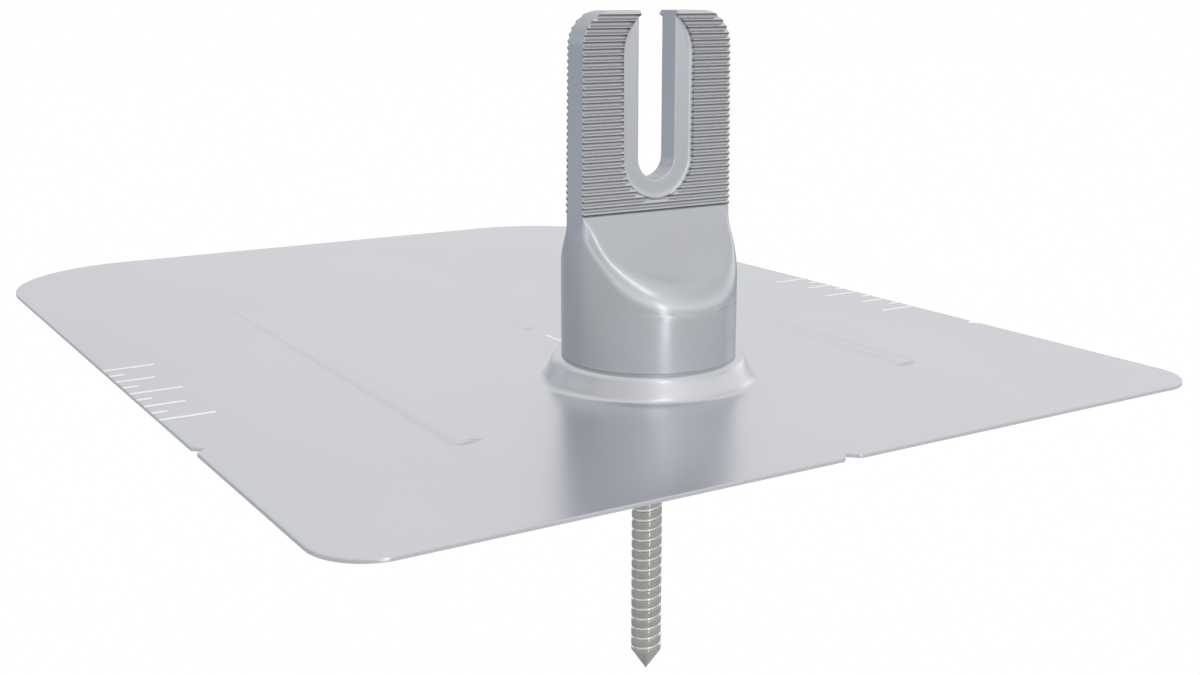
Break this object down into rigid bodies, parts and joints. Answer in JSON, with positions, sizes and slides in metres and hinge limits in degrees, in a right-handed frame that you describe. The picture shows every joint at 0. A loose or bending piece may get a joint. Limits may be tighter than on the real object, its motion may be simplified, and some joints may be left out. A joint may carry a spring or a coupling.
{
  "type": "solar roof flashing mount",
  "caption": "Sheet flashing with a raised round platform, a lag screw through it and a round cap whose serrated, slotted tongue takes a rail foot.",
  "frame": {"origin": "on the lag screw's axis, at the underside of the flashing, which lies on the roof", "axes": "+Z off the roof along the screw, towards the tongue's top; +Y up the roof slope along the flashing's length; +X across the slope"},
  "size_m": [0.2286, 0.3048, 0.1683],
  "materials": {
    "mill_sheet": "mill",
    "cast_aluminium": "fine cast",
    "stainless": "bright",
    "seal_rubber": "matte",
    "white_ink": "matte"
  },
  "bodies": {
    "root": {"flashing": "mill_sheet", "tower": "cast_aluminium", "sealing_rubber": "seal_rubber", "sealing_plate": "stainless", "lag_screw": "stainless", "cap": "cast_aluminium", "alignment_marks": "white_ink"}
  },
  "joints": []
}
